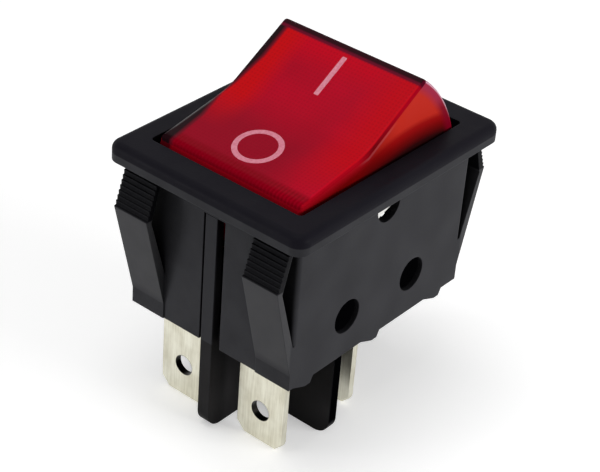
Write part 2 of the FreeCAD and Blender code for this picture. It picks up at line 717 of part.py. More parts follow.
def centre_terminal(y):
    """Blade that carries on up into a fork, whose slot is the lever's knife edge."""
    outer = TAB_WIDTH / 2 + FORK_SHOULDER
    inner = FORK_SLOT / 2
    top = KNIFE_Z + FORK_RISE
    right = [(inner, KNIFE_Z), (inner, top), (outer - FORK_CHAMFER, top),
             (outer, top - FORK_CHAMFER), (outer, shoulder_z())]
    outline = [(y + across, z) for across, z in right] + [(y - across, z) for across, z in right[::-1]]
    fork = front_profile(outline, -TAB_THICKNESS / 2, TAB_THICKNESS / 2)
    return joined([fork, tab_blade(0, y, shoulder_z())])


# Lamp, drawn level and then tilted

def lead_height():
    return bore_top() - LEAD_RADIUS - LEAD_CLEARANCE


def turned_on_x(points, centre):
    """A turned solid about a line along x, from (x, radius) points."""
    corners = [Vector(x, 0, r) for x, r in points]
    face = Part.Face(Part.makePolygon(corners + corners[:1]))
    return face.revolve(Vector(0, 0, 0), Vector(1, 0, 0), 360).translated(centre)


def lamp_bulb():
    """Glass envelope with a pinched end and the pip where it was sealed."""
    half = BULB_LENGTH / 2
    r = BULB_RADIUS
    g = BULB_GLASS
    outer = [(-half - BULB_TIP, 0), (-half, BULB_TIP_RADIUS), (-half + BULB_DOME, r), (half - BULB_PINCH, r),
             (half, BULB_PINCH_RADIUS), (half, 0)]
    inner = [(-half + g, 0), (-half + BULB_DOME + g, r - g), (half - BULB_PINCH - g, r - g),
             (half - BULB_PINCH - g, 0)]
    centre = Vector(BULB_MIDDLE, 0, BULB_HEIGHT)
    glass = turned_on_x(outer, centre).cut(turned_on_x(inner, centre))
    for y in (-ELECTRODE_SPACING / 2, ELECTRODE_SPACING / 2):
        hole = Part.makeCylinder(LEAD_RADIUS, BULB_LENGTH, centre + Vector(0, y, 0), Vector(1, 0, 0))
        glass = glass.cut(hole)
    return glass


def wire_section(centre, along, radius):
    """Outline of a thin wire, drawn with flats."""
    corners = Part.makeCircle(radius, centre, along).discretize(LEAD_STEPS + 1)
    return Part.makePolygon(corners[:-1] + corners[:1])


def bent_wire(points, radius, bend):
    """A round wire along straight runs with rounded turns."""
    edges = []
    last = points[0]
    for before, corner, after in zip(points, points[1:], points[2:]):
        back = (before - corner).normalize()
        ahead = (after - corner).normalize()
        half_turn = (math.pi - back.getAngle(ahead)) / 2
        cut = bend * math.tan(half_turn)
        middle = corner + (back + ahead).normalize() * (bend / math.cos(half_turn) - bend)
        edges.append(Part.LineSegment(last, corner + back * cut).toShape())
        edges.append(Part.Arc(corner + back * cut, middle, corner + ahead * cut).toShape())
        last = corner + ahead * cut
    edges.append(Part.LineSegment(last, points[-1]).toShape())
    start = (points[1] - points[0]).normalize()
    section = wire_section(points[0], start, radius)
    return Part.Wire(edges).makePipeShell([section], True, True)


def electrode(y):
    """Thick electrode inside the bulb and the thin lead that leaves through the pinch."""
    bulb_end = BULB_MIDDLE + BULB_LENGTH / 2
    root = bulb_end - BULB_PINCH - BULB_GLASS
    rod = Part.makeCylinder(ELECTRODE_RADIUS, ELECTRODE_LENGTH,
                            Vector(root - ELECTRODE_LENGTH, y, BULB_HEIGHT), Vector(1, 0, 0))
    side, turn, stop = 1, bulb_end + LEAD_RUN, 0
    if y < 0:
        side, turn, stop = -1, RESISTOR_END + LEAD_PAST_RESISTOR, RESISTOR_END
    low = lead_height()
    route = [Vector(root, y, BULB_HEIGHT), Vector(turn, y, BULB_HEIGHT),
             Vector(turn, y + side * LEAD_SLANT, low), Vector(turn, side * POLE_Y, low),
             Vector(stop, side * POLE_Y, low)]
    return joined([rod, bent_wire(route, LEAD_RADIUS, LEAD_BEND)])


def lamp_resistor():
    """Dog-bone resistor body with its straight lead into the second post."""
    half = (RESISTOR_END - RESISTOR_START) / 2
    r = RESISTOR_RADIUS
    right = [(half - RESISTOR_CAP, r), (half, r), (half, 0)]
    left = [(-x, radius) for x, radius in right[::-1]]
    centre = Vector(RESISTOR_START + half, -POLE_Y, lead_height())
    body = turned_on_x(left + [(0, r - RESISTOR_WAIST)] + right, centre)
    lead = Part.makeCylinder(LEAD_RADIUS, RESISTOR_START + NEAR,
                             Vector(0, -POLE_Y, lead_height()), Vector(1, 0, 0))
    return joined([body, lead])


def tilted_rocker(shape):
    return shape.rotated(PIVOT, Vector(0, 1, 0), -TILT)


def tilted_lever(shape):
    return shape.rotated(Vector(0, 0, KNIFE_Z), Vector(0, 1, 0), LEVER_TILT)


def build():
    parts = {
        "housing": housing(),
        "base": base(),
        "rocker_lens": tilted_rocker(rocker_lens()),
        "rocker_carrier": tilted_rocker(rocker_carrier()),
        "lamp_bulb": tilted_rocker(lamp_bulb()),
        "lamp_electrode_a": tilted_rocker(electrode(ELECTRODE_SPACING / 2)),
        "lamp_electrode_b": tilted_rocker(electrode(-ELECTRODE_SPACING / 2)),
        "lamp_resistor": tilted_rocker(lamp_resistor()),
    }
    for pole, y in (("a", POLE_Y), ("b", -POLE_Y)):
        parts["plunger_" + pole] = tilted_rocker(plunger(y))
        parts["plunger_spring_" + pole] = tilted_rocker(plunger_spring(y))
        parts["contact_lever_" + pole] = tilted_lever(contact_lever(y))
        parts["moving_contact_" + pole] = tilted_lever(moving_contact(y))
        parts["fixed_contact_" + pole] = fixed_contact(y)
        parts["end_terminal_" + pole] = end_terminal(y)
        parts["centre_terminal_" + pole] = centre_terminal(y)
    return parts


os.makedirs("parts", exist_ok=True)
for name, shape in build().items():
    if len(shape.Solids) != 1 or not shape.isValid():
        raise ValueError(name + " is not one sound solid")
    shape.Solids[0].exportStep("parts/" + name + ".step")
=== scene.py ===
import bpy
import bmesh
import math
from mathutils import Matrix, Vector


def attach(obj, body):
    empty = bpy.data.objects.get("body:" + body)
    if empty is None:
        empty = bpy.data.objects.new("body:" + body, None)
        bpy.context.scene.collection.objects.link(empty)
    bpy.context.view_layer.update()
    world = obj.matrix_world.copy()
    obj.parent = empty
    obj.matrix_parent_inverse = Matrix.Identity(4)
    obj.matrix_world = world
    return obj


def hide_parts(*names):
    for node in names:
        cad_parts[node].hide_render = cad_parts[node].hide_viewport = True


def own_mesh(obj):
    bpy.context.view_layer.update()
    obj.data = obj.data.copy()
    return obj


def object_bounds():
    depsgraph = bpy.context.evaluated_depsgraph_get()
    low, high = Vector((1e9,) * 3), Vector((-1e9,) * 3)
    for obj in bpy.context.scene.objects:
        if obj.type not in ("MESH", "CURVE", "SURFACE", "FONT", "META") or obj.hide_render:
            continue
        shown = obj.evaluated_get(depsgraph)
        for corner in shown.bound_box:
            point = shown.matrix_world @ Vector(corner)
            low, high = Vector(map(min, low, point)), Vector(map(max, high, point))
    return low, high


MM = 0.001

# Camera, fitted to the photograph, with its lens and sensor in millimetres
CAMERA_AZIMUTH = math.radians(-52.213)
CAMERA_ELEVATION = math.radians(33.431)
CAMERA_ROLL = math.radians(4.526)
CAMERA_DISTANCE = 189.442 * MM
CAMERA_SHIFT_RIGHT = 0.804 * MM
CAMERA_SHIFT_UP = 9.260 * MM
CAMERA_LENS = 108.29
SENSOR_WIDTH = 36.0
CLIP_START = 0.01
CLIP_END = 10

# Rocker, as the part's source has it: drawn level, then tilted about its pivot
TILT = math.radians(20.3)
PIVOT = Vector((0, 0, -2.1)) * MM
CROWN_Z = 6.62 * MM
TOP_HALF = 10.04 * MM
TOP_WIDTH_HALF = 9.45 * MM
SIDE_SPREAD = 0.0407
END_RADIUS = 15.29 * MM
END_CENTRE_X = -2.52 * MM
DISH = 1.82 * MM

# Printed marks on the rocker's two slopes
MARK_STAND = 0.02 * MM
MARK_SINK = 0.03 * MM
BAR_START = 3.43 * MM
BAR_END = 8.62 * MM
BAR_WIDTH = 0.6 * MM
BAR_ROUND = 0.12 * MM
RING_MIDDLE = -5.6 * MM
RING_ASIDE = 0.15 * MM
RING_RADIUS = 2.72 * MM
RING_STROKE = 0.62 * MM

# Plunger springs
SPRING_WIRE = 0.34 * MM
SPRING_TURNS = 6
SPRING_END_TURNS = 0.75
SPRING_STEPS = 24
SPRING_ROUNDNESS = 3

# Housing: top of the bezel's pale lower band, above which the bezel is painted darker as shade; where the
# latch arms stand out; foot of their teeth, which are painted dark as shade above it, with the arms painted
# paler as light below it
BEZEL_BAND = 0.9 * MM
ARM_X = 14.4 * MM
TEETH_Z = -4.7 * MM

# Base: where its studs, painted nearly black as shade, and its tongues in the end walls start, and the
# walls' lower edge
STUD_Y = 10.3 * MM
TONGUE_X = 14.0 * MM
WALL_FOOT = -18.2 * MM

# Holes near the blades' tips, whose walls are painted dark as shade
HOLE_Y = 5.6 * MM
HOLE_Z = -25.4 * MM
HOLE_RADIUS = 1.2 * MM

# Mirror share of the mouldings and of the bezel, and the reach of the shade in the nylon's corners
SHINE = 0.035
BEZEL_SHINE = 0.022
CORNER_REACH = 5 * MM

# Limits between which noise is spread: a clear mottle, and a fainter one
MOTTLE = (0.35, 0.65)
FAINT_MOTTLE = (0.3, 0.7)

# Rocker's top, in its own millimetres: each colour grows from the first number of a pair to the second. The
# pressed half is painted in shade and the raised half in light, both long edges carry a painted glow, and
# the I end is painted in shade
PRESSED_ALONG = (1, -4)
PRESSED_ACROSS = (-7, -3)
RAISED_ALONG = (5.5, 8.2)
RAISED_ACROSS = (-8, -4)
NEAR_GLOW_ALONG = (-8.5, -2.5)
NEAR_GLOW_ACROSS = (-4.2, -7.8)
FAR_GLOW_ALONG = (-6, 0)
FAR_GLOW_ACROSS = (4.8, 7.0)
END_SHADE = (9.0, 9.2)
END_DEEP_SHADE = (9.35, 9.55)

# Diffuser under the top, in the same millimetres: its mesh, and the ribs at the O end
MESH_PITCH = 0.42
MESH_STRENGTH = 0.22
RIBS_ALONG = (-8.3, -8.9)
RIB_PITCH = 0.45
RIB_CONTRAST = 0.35
RIB_LEAST = 0.6

# Diffuser's far border, as lines with a rise and a base: one on the raised half, two on the pressed half;
# past it the clear lens is painted in shade, with a painted highlight streak along its far edge
BORDER_RAISED = (-0.16, 9.05)
BORDER_LEAST = 8.25
BORDER_PRESSED = (0.26, 9.47)
BORDER_PRESSED_END = (0.075, 8.55)
BORDER_SHADE = (-0.15, 0.15)
BORDER_DEEP_SHADE = (0.2, 0.5)
STREAK_ALONG = (-8, -3)
STREAK_ACROSS = (9.0, 9.25)
STREAK_SOFT = 1

# Rocker's long sides, in the same millimetres: the lower bound of the painted glow, and the painted shade,
# light and sheen under and beside it
GLOW_HEIGHT = 3.85
GLOW_BEND = 0.025
GLOW_RISE = (-0.35, 0.35)
GLOW_ALONG = (-1, 5)
SIDE_SHADE = (-0.5, -2.6)
SIDE_CLEAR = (0, 4)
UNDER_EDGE_DEPTH = (1.5, 0.3)
UNDER_EDGE_ALONG = (1.5, -1.5)
PURPLE_INSIDE = (1.59, 0.79)
PURPLE_HEIGHT = (1.2, 3.0)
LILAC_INSIDE = (0.34, 0.19)
LILAC_HEIGHT = (-1, 1)

# Rocker's faces, told apart by depth under the top and distance in from a side, the end faces' painted shade
# low down, and the O end's painted lit lip
SIDE_DEPTH = (0.3, 0.42)
SIDE_INSIDE = (0.25, 0.1)
END_DEPTH = (0.42, 0.6)
END_LOW_SHADE = (-0.8, -2.2)
LIP_HEIGHT = (3.0, 5.0)
LIP_ALONG = (0, -1)
LIP_ACROSS = (8.1, 7.7)

# Painted shade along the near top edge, the pale rim under it as a painted highlight, and where the O end
# turns matt
LINE_DEPTH = (0.5, 0.4)
LINE_INSIDE = (0.2, 0.1)
LINE_NEAR = (0, -1)
LINE_RAISED = (1, 6)
LINE_PRESSED = (1, -1.5)
LINE_TIP = (9.0, 9.4)
RIM_DEPTH = (0.55, 0.75)
RIM_DEPTH_SOFT = 0.1
RIM_ALONG = (0, 3.5)
RIM_ALONG_SOFT = 1.5
RIM_STRENGTH = 0.16
MATT_END = (-9.3, -9.7)

# Floor, in metres: it glows faintly up to the near distance and like the backdrop from the far one on
FLOOR_HALF = 1.5
FLOOR_GLOW = 0.4
FLOOR_NEAR = 0.1
FLOOR_FAR = 0.5

# How much the white backdrop lights what isn't shiny
WORLD_DIFFUSE = 0.25

# Lamps: name, place and size in metres, and power in watts, all aimed at one point
LAMPS = (
    ("key", (0.1, -0.36, 0.1), (0.2, 0.15), 0.8),
    ("top", (-0.03, 0.05, 0.4), (0.25, 0.25), 0.65),
    ("left", (-0.3, 0.26, 0.02), (0.12, 0.08), 0.5),
)
LAMP_TARGET = Vector((0, 0, -0.008))

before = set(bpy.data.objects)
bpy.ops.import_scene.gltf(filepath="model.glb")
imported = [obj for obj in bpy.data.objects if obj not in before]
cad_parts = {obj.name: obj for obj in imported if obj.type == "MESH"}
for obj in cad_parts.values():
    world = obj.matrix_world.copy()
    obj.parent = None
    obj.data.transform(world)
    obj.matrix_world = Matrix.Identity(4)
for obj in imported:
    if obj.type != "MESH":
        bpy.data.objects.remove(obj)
cad_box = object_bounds()
LEVEL_TO_PLACE = Matrix.Translation(PIVOT) @ Matrix.Rotation(-TILT, 4, "Y") @ Matrix.Translation(-PIVOT)
PLACE_TO_LEVEL = LEVEL_TO_PLACE.inverted()


# Camera

def make_camera():
    """The photograph's camera, rolled, and shifted sideways and up to match."""
    az, el, roll = CAMERA_AZIMUTH, CAMERA_ELEVATION, CAMERA_ROLL
    back = Vector((math.sin(az) * math.cos(el), -math.cos(az) * math.cos(el), math.sin(el)))
    level = Vector((math.cos(az), math.sin(az), 0))
    upward = back.cross(level)
    right = math.cos(roll) * level + math.sin(roll) * upward
    up = math.cos(roll) * upward - math.sin(roll) * level
    place = back * CAMERA_DISTANCE - right * CAMERA_SHIFT_RIGHT - up * CAMERA_SHIFT_UP
    data = bpy.data.cameras.new("camera")
    data.lens = CAMERA_LENS
    data.sensor_width = SENSOR_WIDTH
    data.clip_start = CLIP_START
    data.clip_end = CLIP_END
    camera = bpy.data.objects.new("camera", data)
    camera.matrix_world = Matrix.Translation(place) @ Matrix((right, up, back)).transposed().to_4x4()
    bpy.context.scene.collection.objects.link(camera)
    bpy.context.scene.camera = camera


# Shader helpers

class Shader:
    """A new material with short ways to add and join its nodes."""

    def __init__(self, name):
        self.material = bpy.data.materials.new(name)
        self.material.use_nodes = True
        self.tree = self.material.node_tree
        self.surface = self.tree.nodes["Principled BSDF"]
        self.coords = self.tree.nodes.new("ShaderNodeTexCoord").outputs["Object"]

    def node(self, kind, inputs=None, **settings):
        """A new node, each input joined to a socket or set to a value."""
        made = self.tree.nodes.new(kind)
        for key, value in settings.items():
            setattr(made, key, value)
        for key, value in (inputs or {}).items():
            if isinstance(value, bpy.types.NodeSocket):
                self.tree.links.new(value, made.inputs[key])
            else:
                made.inputs[key].default_value = value
        return made

    def set(self, **values):
        """The same for the surface itself, with underscores for the spaces in its inputs' names."""
        for key, value in values.items():
            socket = self.surface.inputs[key.replace("_", " ")]
            if isinstance(value, bpy.types.NodeSocket):
                self.tree.links.new(value, socket)
            else:
                socket.default_value = value

    def maths(self, operation, a, b=0.0):
        return self.node("ShaderNodeMath", {0: a, 1: b}, operation=operation).outputs[0]

    def noise(self, size, detail=3.0, coords=None):
        """Noise with features of about this size, in the unit of its coordinates."""
        inputs = {"Vector": coords or self.coords, "Scale": 1 / size, "Detail": detail}
        return self.node("ShaderNodeTexNoise", inputs).outputs["Fac"]

    def span(self, value, low, high, start=0.0, end=1.0):
        """value mapped from low-high to start-end, held at its ends."""
        return self.node("ShaderNodeMapRange", {0: value, 1: low, 2: high, 3: start, 4: end}).outputs[0]

    def blend(self, share, first, second):
        """The first colour turning into the second as the share goes from nothing to one."""
        made = self.node("ShaderNodeMix", data_type="RGBA")
        for socket, value in ((made.inputs[0], share), (made.inputs[6], first), (made.inputs[7], second)):
            if isinstance(value, bpy.types.NodeSocket):
                self.tree.links.new(value, socket)
            else:
                socket.default_value = value
        return made.outputs[2]

    def product(self, first, *others):
        """All the values multiplied."""
        for other in others:
            first = self.maths("MULTIPLY", first, other)
        return first

    def lay(self, tone, colour, *shares):
        """The colour over the tone, where all the shares are one."""
        return self.blend(self.product(*shares), tone, colour)

    def bump(self, height, depth, normal=None):
        """A normal that follows a relief of this depth."""
        inputs = {"Height": height, "Distance": depth, "Strength": 1.0}
        if normal:
            inputs["Normal"] = normal
        return self.node("ShaderNodeBump", inputs).outputs["Normal"]

    def soft_edges(self, radius):
        """Normals that look rounded at the edges, and how near an edge a point is."""
        rounded = self.node("ShaderNodeBevel", {"Radius": radius}, samples=6).outputs["Normal"]
        true = self.node("ShaderNodeNewGeometry").outputs["True Normal"]
        along = self.node("ShaderNodeVectorMath", {0: rounded, 1: true}, operation="DOT_PRODUCT")
        return rounded, self.span(along.outputs["Value"], 1.0, 0.8)

    def open_to_light(self, reach):
        """One in the open, falling to nothing in holes, slots and corners."""
        open_sky = self.node("ShaderNodeAmbientOcclusion", {"Distance": reach}, samples=8).outputs["AO"]
        return self.span(open_sky, 0.2, 0.85)


def rgb(red, green, blue):
    """A colour as an 8 bit screen value, made linear."""
    def linear(value):
        value = value / 255
        return value / 12.92 if value <= 0.04045 else ((value + 0.055) / 1.055) ** 2.4
    return (linear(red), linear(green), linear(blue), 1.0)


# Materials

def nylon_tone(made, dark, light):
    """Dark and light clouds with paler specks of fibre."""
    cloud = made.noise(4 * MM, 4)
    fibre = made.noise(0.5 * MM, 5)
    tone = made.blend(made.span(cloud, *MOTTLE), dark, light)
    return made.blend(made.span(fibre, 0.62, 0.75, 0, 0.35), tone, light)


def finish_nylon(made, tone, roughness, shine):
    """A satin face with a fine eroded grain and softened edges that carry a painted highlight, with painted
    shade in holes, slots and corners.
    """
    grain = made.noise(0.16 * MM, 2)
    rounded, edge = made.soft_edges(0.14 * MM)
    # Painted highlight: the edges lightened
    tone = made.lay(tone, rgb(70, 70, 74), edge, 0.3)
    # Painted shade: nearly black where holes, slots and corners keep out the light
    tone = made.blend(made.open_to_light(CORNER_REACH), rgb(6, 6, 8), tone)
    rough = made.span(made.noise(2 * MM, 3), *FAINT_MOTTLE, roughness - 0.07, roughness + 0.08)
    made.set(Base_Color=tone, Roughness=rough, Normal=made.bump(grain, 0.012 * MM, rounded))
    made.set(IOR=1.53, Specular_IOR_Level=shine)
    return made.material


def housing_nylon():
    """Glass-filled nylon: satin walls, a bezel painted darker as shade over its lower band, arms painted
    paler as light, latch teeth painted dark as shade.
    """
    made = Shader("black_nylon")
    along, _, height = made.node("ShaderNodeSeparateXYZ", {0: made.coords}).outputs
    tone = nylon_tone(made, rgb(47, 47, 50), rgb(55, 55, 58))
    arm = made.span(made.maths("ABSOLUTE", along), ARM_X, ARM_X + 0.3 * MM)
    under_teeth = made.span(height, TEETH_Z, TEETH_Z - 0.2 * MM)
    # Painted light: the latch arms paler below their teeth
    tone = made.lay(tone, rgb(66, 66, 68), arm, under_teeth)
    teeth = made.product(made.span(height, TEETH_Z - 0.05 * MM, TEETH_Z), made.span(height, 0, -0.1 * MM))
    # Painted shade: the latch teeth under the bezel nearly black
    tone = made.lay(tone, rgb(14, 14, 17), arm, teeth)
    bezel = made.span(height, BEZEL_BAND - 0.05 * MM, BEZEL_BAND + 0.05 * MM)
    # Painted shade: the bezel darker above its lower band
    tone = made.lay(tone, rgb(16, 14, 22), bezel, 0.85)
    return finish_nylon(made, tone, 0.45, made.span(bezel, 0, 1, SHINE, BEZEL_SHINE))


def base_nylon():
    """The same nylon painted darker as shade, nearly black as painted shade on the studs in their holes,
    pale on the end walls' tongues.
    """
    made = Shader("base_nylon")
    along, across, height = made.node("ShaderNodeSeparateXYZ", {0: made.coords}).outputs
    stud = made.span(made.maths("ABSOLUTE", across), STUD_Y, STUD_Y + 0.1 * MM)
    # Painted shade: the whole base darker, and the studs in their holes nearly black
    tone = made.blend(stud, nylon_tone(made, rgb(33, 32, 33), rgb(40, 39, 40)), rgb(3, 3, 4))
    outward = made.span(made.maths("ABSOLUTE", along), TONGUE_X, TONGUE_X + 0.1 * MM)
    above_foot = made.span(height, WALL_FOOT, WALL_FOOT + 0.1 * MM)
    tone = made.lay(tone, rgb(51, 51, 54), outward, above_foot)
    return finish_nylon(made, tone, 0.5, made.span(stud, 0, 1, SHINE, 0))


class RockerPaint(Shader):
    """A material that knows where a point lies in the rocker's own level frame, in millimetres."""

    def __init__(self, name):
        super().__init__(name)
        offset = PLACE_TO_LEVEL.to_translation() / MM
        to_level = {"Vector": self.coords, "Location": offset, "Rotation": (0, TILT, 0),
                    "Scale": (1 / MM, 1 / MM, 1 / MM)}
        self.level = self.node("ShaderNodeMapping", to_level).outputs[0]
        self.x, self.y, self.z = self.node("ShaderNodeSeparateXYZ", {0: self.level}).outputs

    def line(self, value, rise, base):
        """rise times value, plus base."""
        return self.maths("ADD", self.maths("MULTIPLY", value, rise), base)

    def under_top(self):
        """Depth under the dished top."""
        top = self.line(self.maths("ABSOLUTE", self.x), DISH / TOP_HALF, (CROWN_Z - DISH) / MM)
        return self.maths("SUBTRACT", top, self.z)

    def inside_side(self):
        """Distance in from the nearer long side, which spreads downwards."""
        side = self.line(self.z, -SIDE_SPREAD, (TOP_WIDTH_HALF + SIDE_SPREAD * CROWN_Z) / MM)
        return self.maths("SUBTRACT", side, self.maths("ABSOLUTE", self.y))

    def inside_end(self):
        """Distance in from the bowed face of the I end."""
        across = self.maths("POWER", self.maths("SUBTRACT", self.x, END_CENTRE_X / MM), 2)
        up = self.maths("POWER", self.maths("SUBTRACT", self.z, PIVOT.z / MM), 2)
        return self.maths("SUBTRACT", END_RADIUS / MM, self.maths("SQRT", self.maths("ADD", across, up)))

    def band(self, value, low, high, soft):
        """One between low and high, falling to nothing over the soft distance."""
        return self.product(self.span(value, low - soft, low), self.span(value, high, high + soft, 1.0, 0.0))

    def stripes(self, direction, pitch):
        """Soft stripes that follow one another at this pitch along an axis."""
        inputs = {"Vector": self.level, "Scale": math.pi / (10 * pitch)}
        wave = self.node("ShaderNodeTexWave", inputs, wave_type="BANDS", bands_direction=direction)
        return wave.outputs["Fac"]


def far_border(made):
    """Where the red stops before the far long edge: nearest it over the pivot, further in at both ends."""
    x = made.x
    raised = made.maths("MAXIMUM", made.line(x, *BORDER_RAISED), BORDER_LEAST)
    pressed = made.maths("MAXIMUM", made.line(x, *BORDER_PRESSED), made.line(x, *BORDER_PRESSED_END))
    return made.maths("MINIMUM", raised, pressed)


def top_tone(made):
    """Crimson over the diffuser, painted darker as shade on the pressed half and brighter as light on the
    raised half, with a painted glow along the long edges, painted shade where only clear lens is seen, a
    painted highlight streak by the far edge and painted shade at the I end.
    """
    x, y = made.x, made.y
    cloud = made.span(made.noise(6, 2, made.level), *MOTTLE)
    tone = made.blend(cloud, rgb(181, 10, 38), rgb(195, 10, 41))
    # Painted shade on the pressed half, painted light on the raised half
    tone = made.lay(tone, rgb(158, 11, 37), made.span(x, *PRESSED_ALONG), made.span(y, *PRESSED_ACROSS))
    tone = made.lay(tone, rgb(204, 6, 34), made.span(x, *RAISED_ALONG), made.span(y, *RAISED_ACROSS))
    # Painted light: a glow along both long edges
    tone = made.lay(tone, rgb(204, 8, 26), made.span(y, *NEAR_GLOW_ACROSS), made.span(x, *NEAR_GLOW_ALONG))
    tone = made.lay(tone, rgb(208, 12, 20), made.span(y, *FAR_GLOW_ACROSS), made.span(x, *FAR_GLOW_ALONG))
    mesh = made.product(made.stripes("X", MESH_PITCH), made.stripes("Y", MESH_PITCH))
    tone = made.lay(tone, rgb(110, 10, 30), mesh, MESH_STRENGTH)
    ribs = made.line(made.stripes("Y", RIB_PITCH), RIB_CONTRAST, RIB_LEAST)
    tone = made.lay(tone, rgb(136, 0, 20), made.span(x, *RIBS_ALONG), ribs)
    past = made.maths("SUBTRACT", y, far_border(made))
    # Painted shade past the diffuser's far border, where the clear lens shows the dark gap
    tone = made.lay(tone, rgb(106, 18, 34), made.span(past, *BORDER_SHADE))
    tone = made.lay(tone, rgb(34, 14, 19), made.span(past, *BORDER_DEEP_SHADE))
    # Painted highlight: a grey streak along the lens's far edge
    streak_highlight = made.product(made.span(y, *STREAK_ACROSS), made.band(x, *STREAK_ALONG, STREAK_SOFT))
    tone = made.lay(tone, rgb(92, 90, 90), streak_highlight)
    # Painted shade at the I end, seen through the clear lens
    tone = made.lay(tone, rgb(106, 14, 40), made.span(x, *END_SHADE))
    return made.lay(tone, rgb(44, 8, 18), made.span(x, *END_DEEP_SHADE))


def side_tone(made, depth):
    """Painted light and shade on the long sides: an orange painted glow under the top edge, painted shade in
    dark red below it, and a painted sheen of purple and lilac at the bowed end.
    """
    x, z = made.x, made.z
    bend = made.maths("MULTIPLY", made.maths("POWER", x, 2), GLOW_BEND)
    glow = made.maths("SUBTRACT", made.maths("ADD", z, bend), GLOW_HEIGHT)
    clear = made.blend(made.span(x, *SIDE_CLEAR), rgb(118, 3, 5), rgb(150, 3, 5))
    # Painted shade: dark red to near black below the glow
    tone = made.blend(made.span(glow, *SIDE_SHADE), clear, rgb(44, 9, 11))
    # Painted light: orange glow under the top edge
    tone = made.lay(tone, rgb(190, 38, 24), made.span(glow, *GLOW_RISE), made.span(x, *GLOW_ALONG))
    lit_under_edge = made.product(made.span(depth, *UNDER_EDGE_DEPTH), made.span(x, *UNDER_EDGE_ALONG))
    # Painted light: red just under the top edge on the pressed half
    tone = made.lay(tone, rgb(178, 10, 28), lit_under_edge)
    inside = made.inside_end()
    purple = made.blend(made.span(z, *PURPLE_HEIGHT), rgb(130, 2, 30), rgb(158, 36, 66))
    # Painted sheen: purple at the bowed end
    tone = made.lay(tone, purple, made.span(inside, *PURPLE_INSIDE))
    # Painted highlight: a lilac rim at the bowed end
    return made.lay(tone, rgb(206, 158, 176), made.span(inside, *LILAC_INSIDE), made.span(z, *LILAC_HEIGHT))


def end_tone(made):
    """Deep red, painted nearly black low down as shade, with a painted lit lip at the O end's top."""
    # Painted shade: the end faces nearly black low down
    tone = made.blend(made.span(made.z, *END_LOW_SHADE), rgb(120, 8, 26), rgb(30, 3, 8))
    lip = made.product(made.span(made.z, *LIP_HEIGHT), made.span(made.x, *LIP_ALONG))
    # Painted light: the O end's lit lip
    return made.lay(tone, rgb(206, 8, 36), lip, made.span(made.y, *LIP_ACROSS))


def edge_shade_line(made):
    """Painted dark as shade along the raised half, darkest at its tip, and as red as the top along the
    pressed half.
    """
    tone = made.blend(made.span(made.x, *LINE_RAISED), rgb(112, 8, 18), rgb(166, 8, 30))
    tone = made.lay(tone, rgb(168, 9, 27), made.span(made.x, *LINE_PRESSED))
    return made.lay(tone, rgb(84, 10, 32), made.span(made.x, *LINE_TIP))


def lens_red():
    """Clear red moulding over a meshed diffuser."""
    made = RockerPaint("lens_red")
    depth = made.under_top()
    inside = made.inside_side()
    tone = made.blend(made.span(depth, *END_DEPTH), top_tone(made), end_tone(made))
    on_side = made.product(made.span(depth, *SIDE_DEPTH), made.span(inside, *SIDE_INSIDE))
    tone = made.lay(tone, side_tone(made, depth), on_side)
    edge = made.product(made.span(depth, *LINE_DEPTH), made.span(inside, *LINE_INSIDE),
                        made.span(made.y, *LINE_NEAR))
    # Painted shade along the near top edge
    tone = made.lay(tone, edge_shade_line(made), edge)
    lit_under_edge = made.band(depth, *RIM_DEPTH, RIM_DEPTH_SOFT)
    rim_highlight = made.product(on_side, lit_under_edge, made.band(made.x, *RIM_ALONG, RIM_ALONG_SOFT))
    # Painted highlight: a faint pale rim under the near top edge
    tone = made.lay(tone, rgb(176, 120, 132), rim_highlight, RIM_STRENGTH)
    rough = made.span(made.noise(1.5, 3, made.level), *FAINT_MOTTLE, 0.36, 0.46)
    matt = made.maths("MAXIMUM", edge, made.span(made.x, *MATT_END))
    made.set(Base_Color=tone, Roughness=rough, Normal=made.bump(made.noise(3, 2, made.level), 0.01 * MM))
    made.set(IOR=1.5, Specular_IOR_Level=made.span(matt, 0, 1, SHINE, 0))
    return made.material


def mark_ink():
    """Pale pink print, faintly uneven."""
    made = Shader("mark_ink")
    tone = made.blend(made.span(made.noise(0.3 * MM, 3), *MOTTLE), rgb(217, 115, 137), rgb(229, 140, 159))
    made.set(Base_Color=tone, Roughness=0.4, Normal=made.bump(made.noise(0.15 * MM), 0.004 * MM))
    return made.material


def white_moulding(name, dark, light):
    """White acetal, satin and faintly mottled."""
    made = Shader(name)
    rounded, _ = made.soft_edges(0.1 * MM)
    tone = made.blend(made.span(made.noise(3 * MM, 3), *MOTTLE), dark, light)
    made.set(Base_Color=tone, Roughness=made.span(made.noise(0.8 * MM), *FAINT_MOTTLE, 0.32, 0.42))
    made.set(Normal=made.bump(made.noise(0.25 * MM), 0.006 * MM, rounded), Subsurface_Weight=0.1)
    made.set(Subsurface_Radius=(1 * MM, 1 * MM, 1 * MM))
    return made.material


def punched_holes(made, tone):
    """The blades' colour with the walls of their holes painted dull and dark as shade."""
    _, across, height = made.node("ShaderNodeSeparateXYZ", {0: made.coords}).outputs
    aside = made.maths("SUBTRACT", made.maths("ABSOLUTE", across), HOLE_Y)
    above = made.maths("SUBTRACT", height, HOLE_Z)
    squares = made.maths("ADD", made.maths("POWER", aside, 2), made.maths("POWER", above, 2))
    wall = made.span(made.maths("SQRT", squares), HOLE_RADIUS + 0.06 * MM, HOLE_RADIUS + 0.02 * MM)
    # Painted shade on the walls of the holes
    return made.blend(wall, tone, rgb(30, 28, 26))


